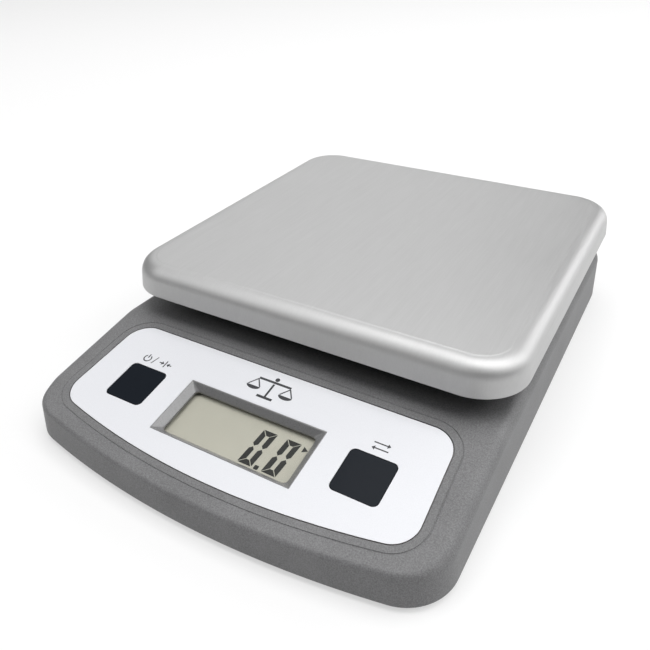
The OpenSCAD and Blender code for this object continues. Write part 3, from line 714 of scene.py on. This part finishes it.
def build_overlay():
    film = soft_prism("panel_film", lambda i: label_plan(-i), ADHESIVE_TOP, OVERLAY_TOP, 0.04,
                      PANEL, 2, False)
    shade(clean(carve(film, label_openings(0))))
    finish_piece(film, "label", "base", "panel_overlay")
    adhesive = prism("label_adhesive", label_plan(0.06), -RECESS_DEPTH, ADHESIVE_TOP, PANEL)
    shade(clean(carve(adhesive, label_openings(0.3))))
    return finish_piece(adhesive, "adhesive", "base")


def build_key(side, name, node):
    """A key cap with a flange that holds it under the housing and a stem for its switch."""
    def square(w, r):
        return lambda inset: rounded(w - 2 * inset, w - 2 * inset, r - inset, KEY_ROUND,
                                     side * KEY_U, KEY_V)

    cap_foot, flange_foot, stem_foot, overlap = -2.6, -3.4, -4.3, 0.01
    cap = soft_prism(name, square(KEY_W, 1.8), cap_foot, OVERLAY_TOP, 0.18, PANEL, 4, False)
    flange = soft_prism("flange", square(KEY_W + 2.4, 2), flange_foot, cap_foot + overlap, 0.15,
                        PANEL)
    stem = prism("stem", arc(side * KEY_U, KEY_V, 2.2, 0, 345, 23), stem_foot,
                 flange_foot + overlap, PANEL)
    key = shade(join(name, [cap, flange, stem]))
    return finish_piece(key, "key", node, node)


def build_bezel():
    """Frame round the display: sloped sides, a short straight throat and a flange below."""
    foot, shelf, seat = -3.9, -2.25, -2.9
    throat_w, throat_h, throat_r, throat_z = 47.0, 18.0, 1.5, -2.16
    flange, rim = 4, 0.6

    def outer(grow, r, z):
        return at(rounded(WINDOW[0] + grow, WINDOW[1] + grow, r), z)

    def inner(grow, r, z):
        return at(rounded(throat_w + grow, throat_h + grow, r), z)

    rings = [
        outer(flange, 1.0, foot), outer(flange, 1.0, shelf), outer(0, 0.4, shelf),
        outer(0, 0.4, OVERLAY_TOP - 0.06), outer(-0.12, 0.34, OVERLAY_TOP),
        outer(-rim, 0.3, OVERLAY_TOP), outer(-rim - 0.16, 0.32, OVERLAY_TOP - 0.05),
        inner(0.24, throat_r + 0.05, throat_z + 0.14), inner(0, throat_r, throat_z),
        inner(0, throat_r, seat), inner(2.4, 1.2, seat), inner(2.4, 1.2, foot),
    ]
    bezel = shade(loft("bezel_frame", rings, PANEL, closed=True))
    return finish_piece(bezel, "bezel", "base", "display_bezel")


def build_pane():
    """The clear pane that lies under the bezel's seat."""
    w, h, r, foot, top = 49, 20, 1, -3.85, -2.95
    pane = soft_prism("display_pane", lambda i: rounded(w - 2 * i, h - 2 * i, r - i, 6), foot, top,
                      0.1, PANEL)
    return finish_piece(shade(pane), "pane", "base", "display_lens")


# the display's digits, in the panel's plane
DIGIT_W = 5.1
DIGIT_H = 13.5
DIGIT_LEAN = 0.083
BAR_T = 1.85
BAR_GAP = 0.16
DIGIT_U = (4.6, 13.3)
DIGIT_V = -7.5
GLASS_TOP = -4.0
# both ends of each lit bar as shares of the digit's box, and the side the bar is laid to
ZERO_BARS = (
    ((0, 1), (1, 1), -1), ((1, 1), (1, 0.5), -1), ((1, 0), (1, 0.5), 1),
    ((0, 0), (1, 0), 1), ((0, 0), (0, 0.5), -1), ((0, 1), (0, 0.5), 1),
)


def bar_outline(p0, p1, side, u0):
    """A bar mitred at the digit's corners and pointed where it ends half way up."""
    a = Vector((p0[0] * DIGIT_W, p0[1] * DIGIT_H))
    b = Vector((p1[0] * DIGIT_W, p1[1] * DIGIT_H))
    d = (b - a).normalized()
    n = side * Vector((-d.y, d.x)) * BAR_T
    a, b = a + BAR_GAP * d, b - BAR_GAP * d
    if p1[1] == 0.5:
        far = [b - 0.5 * BAR_T * d, b + 0.5 * n, b - 0.5 * BAR_T * d + n]
    else:
        far = [b, b - BAR_T * d + n]
    return [(u0 + q.x + DIGIT_LEAN * q.y, DIGIT_V + q.y) for q in [a] + far + [a + BAR_T * d + n]]


def build_segments():
    """The lit display: two zeros, the point between them and a small marker."""
    z0, z1 = GLASS_TOP, GLASS_TOP + 0.05
    bars = []
    for u0 in DIGIT_U:
        for p0, p1, side in ZERO_BARS:
            bars.append(prism("bar", bar_outline(p0, p1, side, u0), z0, z1, PANEL))
    bars.append(prism("point", rounded(1.5, 1.5, 0.3, 3, 11.3, DIGIT_V + 0.5), z0, z1, PANEL))
    bars.append(prism("marker", [(20.7, 3.5), (22.5, 4.6), (20.7, 5.7)], z0, z1, PANEL))
    lit = join("display_digits", bars)
    return finish_piece(shade(lit), "segment", "base", "lcd_segments")


# ---------------------------------------------------------------- printed icons

def printed(name, outline):
    """Ink on the label film, just proud of it."""
    return prism(name, outline, OVERLAY_TOP - INK_T, OVERLAY_TOP + INK_T, PANEL)


def stroke(points, width):
    """A line of even width through points, with flat ends."""
    left, right = [], []
    for k, q in enumerate(points):
        here = Vector(q)
        before = Vector(points[max(k - 1, 0)])
        after = Vector(points[min(k + 1, len(points) - 1)])
        d = (after - before).normalized()
        n = Vector((-d.y, d.x)) * width / 2
        left.append(tuple(here + n))
        right.append(tuple(here - n))
    return left + right[::-1]


def icon_power(u, v, size):
    """An open ring with an upright bar in its gap."""
    w = size * 0.13
    ring = arc(u, v - 0.05 * size, size * 0.4, 125, 415, 28)
    return [printed("power_ring", stroke(ring, w)),
            printed("power_bar", stroke([(u, v + 0.02 * size), (u, v + size * 0.5)], w))]


def icon_arrow(u, v, length, size, turn):
    """An arrow along the panel whose middle is at u, v; turn is 1 for right and -1 for left."""
    tip = u + turn * length / 2
    neck = tip - turn * size * 0.62
    return [printed("arrow_shaft", stroke([(u - turn * length / 2, v), (neck, v)], size * 0.26)),
            printed("arrow_head", [(neck, v - size / 2), (tip, v), (neck, v + size / 2)])]


def icon_tare(u, v, size):
    """Two arrows that meet at an upright bar."""
    w = size * 0.13
    return ([printed("tare_bar", stroke([(u, v - size * 0.45), (u, v + size * 0.45)], w))]
            + icon_arrow(u - size * 0.48, v, size * 0.62, size * 0.5, 1)
            + icon_arrow(u + size * 0.48, v, size * 0.62, size * 0.5, -1))


def icon_swap(u, v, size):
    """Two arrows one above the other, pointing opposite ways."""
    return (icon_arrow(u, v + size * 0.27, size * 1.5, size * 0.46, 1)
            + icon_arrow(u, v - size * 0.27, size * 1.5, size * 0.46, -1))


def icon_balance(u, v, size):
    """A plain two-pan balance: foot, post, beam and two hanging pans."""
    w = size * 0.085
    reach = size * 0.72
    beam_v = v + size * 0.34
    parts = [printed("balance_foot", stroke([(u - size * 0.34, v - size * 0.46),
                                             (u + size * 0.34, v - size * 0.46)], w * 1.3)),
             printed("balance_post", stroke([(u, v - size * 0.41), (u, beam_v - w)], w)),
             printed("balance_beam", stroke([(u - reach, beam_v), (u + reach, beam_v)], w * 1.2)),
             printed("balance_knob", arc(u, beam_v + w * 1.9, w * 1.1, 0, 345, 23))]
    for side in (-1, 1):
        x = u + side * reach
        low = v - size * 0.08
        half = size * 0.3
        for end in (-1, 1):
            parts.append(printed("balance_cord", stroke([(x, beam_v - w * 0.7),
                                                         (x + end * half * 0.88, low)], w * 0.6)))
        rim_v = low - w * 0.2
        bowl = arc(x, rim_v, half, 180, 360, 20)
        parts.append(printed("balance_pan", [(a, rim_v + (b - rim_v) * 0.55) for a, b in bowl]))
    return parts


def build_icons():
    row = KEY_V + 11.2
    parts = (icon_power(-KEY_U - 4.6, row, 3.5) + icon_tare(-KEY_U + 3.4, row, 3.3)
             + icon_swap(KEY_U, row, 3.6) + icon_balance(0.6, 18.4, 8.6))
    parts.append(printed("divider", stroke([(-KEY_U - 1.9, row - 1.7), (-KEY_U - 0.9, row + 1.7)],
                                           0.35)))
    return finish_piece(shade(join("panel_icons", parts)), "ink", "base")


# ---------------------------------------------------------------- platform

def pan_wall(inset, z1, r, steps):
    """Insets and heights up a leaning wall's round, from where it leaves the wall to the top."""
    start_z = z1 - r * (1 - math.sin(PAN_LEAN))
    base = inset + (start_z - PAN_Z0) * math.tan(PAN_LEAN) - r * (1 - math.cos(PAN_LEAN))
    points = []
    for k in range(steps + 1):
        a = PAN_LEAN + (math.pi / 2 - PAN_LEAN) * k / steps
        points.append((base + r * (1 - math.cos(a)), z1 - r * (1 - math.sin(a))))
    return points


def build_platform():
    """Pressed steel pan: inside, rounded lip, leaning wall, roll and a crease round its top."""
    inner = pan_wall(SHEET, PAN_Z1 - SHEET, PAN_ROLL_R - SHEET, 6)
    outer = pan_wall(0, PAN_Z1 - PAN_CREASE, PAN_ROLL_R - PAN_CREASE, 12)
    lip = SHEET / 2
    turn = [(lip + x, PAN_Z0 + lip - y) for x, y in arc(0, 0, lip, 0, 180, 6)]
    flat = outer[-1][0]
    profile = (list(reversed(inner)) + turn + outer
               + [(flat + 0.4, PAN_Z1 - PAN_CREASE), (flat + 0.75, PAN_Z1 - 0.02),
                  (flat + 0.95, PAN_Z1), (flat + 4, PAN_Z1)])
    pan = shade(loft("platform_pan", [at(pan_plan(u), z) for u, z in profile]))
    return finish_piece(pan, "steel", "platform", "weighing_platform")


# ---------------------------------------------------------------- underside

# middles of the feet and of the housing screws on the right-hand side
FOOT_X = 58
FOOT_Y = (-84, 88)
SCREW_PLACES = ((66, -66), (66, 20), (62, 74))


def build_foot(x, y):
    """A rubber foot with a dished middle and a rounded edge."""
    r, h = 6.0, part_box("rubber_feet")[1].z / MM
    place = Matrix.Translation((x * MM, y * MM, 0))
    profile = [(0, 0.35), (2.2, 0.35), (2.6, 0.05), (3.0, 0.0), (5.0, 0.0), (5.55, 0.12),
               (5.88, 0.42), (r, 0.85), (r, h), (0, h)]
    return lathe("foot", profile, place, 64)


def build_feet():
    feet = [build_foot(side * FOOT_X, y) for side in (-1, 1) for y in FOOT_Y]
    return finish_piece(shade(join("feet_rubber", feet)), "rubber", "base", "rubber_feet")


def build_screw(r, head_r, head_h, seat, tip, place):
    """Pan-head screw, head downwards, with a cross recess."""
    low = seat - head_h
    screw = lathe("screw", [(0, low), (head_r * 0.62, low), (head_r * 0.86, seat - head_h * 0.86),
                            (head_r * 0.97, seat - head_h * 0.6),
                            (head_r, seat - head_h * 0.3), (head_r, seat), (r, seat), (r, tip - r),
                            (r * 0.3, tip), (0, tip)], place, 40)

    def bar(half_l, half_w, z):
        return [(-half_l, -half_w, z), (half_l, -half_w, z), (half_l, half_w, z),
                (-half_l, half_w, z)]

    c, t = head_r * 0.56, head_r * 0.14
    rings = [bar(c, t, low - 0.5), bar(c, t, low), bar(c * 0.4, t * 0.8, low + head_h * 0.6)]
    cutters = [loft("cut_cross", rings, place @ Matrix.Rotation(math.radians(turn), 4, "Z"))
               for turn in (20, 110)]
    return carve(screw, cutters)


def build_housing_screws():
    screws = []
    for x, y in SCREW_PLACES:
        for side in (-1, 1):
            place = Matrix.Translation((side * x * MM, y * MM, 0))
            screws.append(build_screw(1.25, 2.8, 2.2, 7, 15, place))
    return finish_piece(shade(join("housing_screw_set", screws)), "screw", "base",
                        "housing_screws")


# ---------------------------------------------------------------- nodes kept from the frame

CAD_MATERIALS = {
    "lower_housing": "dark", "battery_door": "dark", "platform_support": "dark",
    "overload_stops": "dark",
    "lcd_glass": "display", "lcd_holder": "white", "zebra_strip": "zebra", "main_board": "board",
    "controller_chip": "chip", "adc_chip": "chip", "filter_capacitors": "capacitor",
    "board_connectors": "white", "board_screws": "screw", "tact_switches": "chip",
    "tare_switch_plunger": "white", "unit_switch_plunger": "white", "load_cell": "aluminium",
    "strain_gauges": "gauge", "cell_spacer_lower": "aluminium", "cell_spacer_upper": "aluminium",
    "cell_screws_lower": "screw", "cell_screws_upper": "screw", "load_cell_cable": "cable",
    "platform_pads": "pad", "battery_cell_1": "jacket", "battery_cell_2": "jacket",
    "battery_springs": "contact", "battery_contacts": "contact", "battery_leads": "red",
    "dc_jack": "jack", "jack_pin": "contact", "jack_leads": "black",
}

# moulded pieces that keep their CAD form and get their edges broken: body and edge width
BEVELLED = {
    "lower_housing": ("base", 0.3),
    "battery_door": ("battery_door", 0.25),
    "platform_support": ("weigh_deck", 0.3),
    "dc_jack": ("base", 0.12),
}


def build_moulded_pieces():
    for node, (body, width) in BEVELLED.items():
        piece = bevelled_copy(node, node + "_moulded", width)
        finish_piece(piece, CAD_MATERIALS[node], body, node)


def dress_cad_nodes():
    for node, material in CAD_MATERIALS.items():
        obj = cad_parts[node]
        obj.data.materials.clear()
        obj.data.materials.append(MATERIALS[material])


# ---------------------------------------------------------------- stage, lights and camera

# plain studio, in metres: each softbox's place, what it is turned to, its size and brightness
FLOOR_HALF = 6.0
FLOOR_GREY = 0.4
FLOOR_GLOW = 0.53
AMBIENT = 0.03
SOFTBOXES = (
    ("overhead", (0.75, 0.2, 1.6), (0.75, 0.2, 0.0), (2.8, 1.3), 3.6),
    ("right", (1.4, 1.5, 0.85), (0.0, 0.0, 0.02), (1.7, 1.1), 2.9),
    ("rear", (-1.5, 2.0, 1.25), (0.0, 0.0, 0.02), (3.0, 1.8), 1.0),
    ("left", (-1.05, -1.05, 1.6), (0.0, 0.0, 0.02), (1.4, 1.6), 1.9),
)


# the camera, fitted to edges seen in the photograph: metres, degrees and millimetres
CAMERA_PLACE = (0.1011, -0.1885, 0.15249)
CAMERA_AZIMUTH = 31.12
CAMERA_ELEVATION = 33.35
CAMERA_ROLL = -1.36
CAMERA_SENSOR = 36.0
CAMERA_LENS = 35.93


def build_stage():
    mesh = bpy.data.meshes.new("floor")
    signs = ((-1, -1), (1, -1), (1, 1), (-1, 1))
    mesh.from_pydata([(x * FLOOR_HALF, y * FLOOR_HALF, 0) for x, y in signs], [],
                     [(0, 1, 2, 3)])
    floor = bpy.data.objects.new("floor", mesh)
    bpy.context.scene.collection.objects.link(floor)
    n = Nodes("floor_white")
    n.set(Base_Color=(FLOOR_GREY, FLOOR_GREY, FLOOR_GREY, 1.0), Roughness=0.9)
    n.set(Emission_Color=(1.0, 1.0, 1.0, 1.0), Emission_Strength=FLOOR_GLOW)
    n.shader.inputs["Specular IOR Level"].default_value = 0.1
    mesh.materials.append(n.material)


def area_light(name, place, target, size, radiance):
    """A softbox as bright per area as asked, whatever its size."""
    data = bpy.data.lights.new(name, "AREA")
    data.shape = "RECTANGLE"
    data.size, data.size_y = size
    data.energy = radiance * math.pi * size[0] * size[1]
    light = bpy.data.objects.new(name, data)
    bpy.context.scene.collection.objects.link(light)
    light.location = place
    light.rotation_euler = (Vector(target) - Vector(place)).to_track_quat("-Z", "Y").to_euler()


def build_light():
    world = bpy.data.worlds.new("studio")
    bpy.context.scene.world = world
    world.use_nodes = True
    background = world.node_tree.nodes["Background"]
    background.inputs["Color"].default_value = (1.0, 1.0, 1.0, 1.0)
    background.inputs["Strength"].default_value = AMBIENT
    for softbox in SOFTBOXES:
        area_light(*softbox)


def build_camera():
    azimuth = math.radians(CAMERA_AZIMUTH)
    elevation = math.radians(CAMERA_ELEVATION)
    roll = math.radians(CAMERA_ROLL)
    back = Vector((math.sin(azimuth) * math.cos(elevation),
                   -math.cos(azimuth) * math.cos(elevation), math.sin(elevation)))
    right = Vector((math.cos(azimuth), math.sin(azimuth), 0))
    up = back.cross(right)
    x_axis = math.cos(roll) * right + math.sin(roll) * up
    y_axis = math.cos(roll) * up - math.sin(roll) * right
    data = bpy.data.cameras.new("camera")
    data.sensor_width = CAMERA_SENSOR
    data.lens = CAMERA_LENS
    data.clip_start = 0.005
    camera = bpy.data.objects.new("camera", data)
    bpy.context.scene.collection.objects.link(camera)
    turn = Matrix((x_axis, y_axis, back)).transposed().to_4x4()
    camera.matrix_world = Matrix.Translation(CAMERA_PLACE) @ turn
    bpy.context.scene.camera = camera


dress_cad_nodes()
build_upper_housing()
build_overlay()
build_key(-1, "tare_key_cap", "tare_key")
build_key(1, "unit_key_cap", "unit_key")
build_bezel()
build_pane()
build_segments()
build_icons()
build_platform()
build_feet()
build_housing_screws()
build_moulded_pieces()
build_stage()
build_light()
build_camera()
bpy.context.scene.view_settings.view_transform = "Standard"
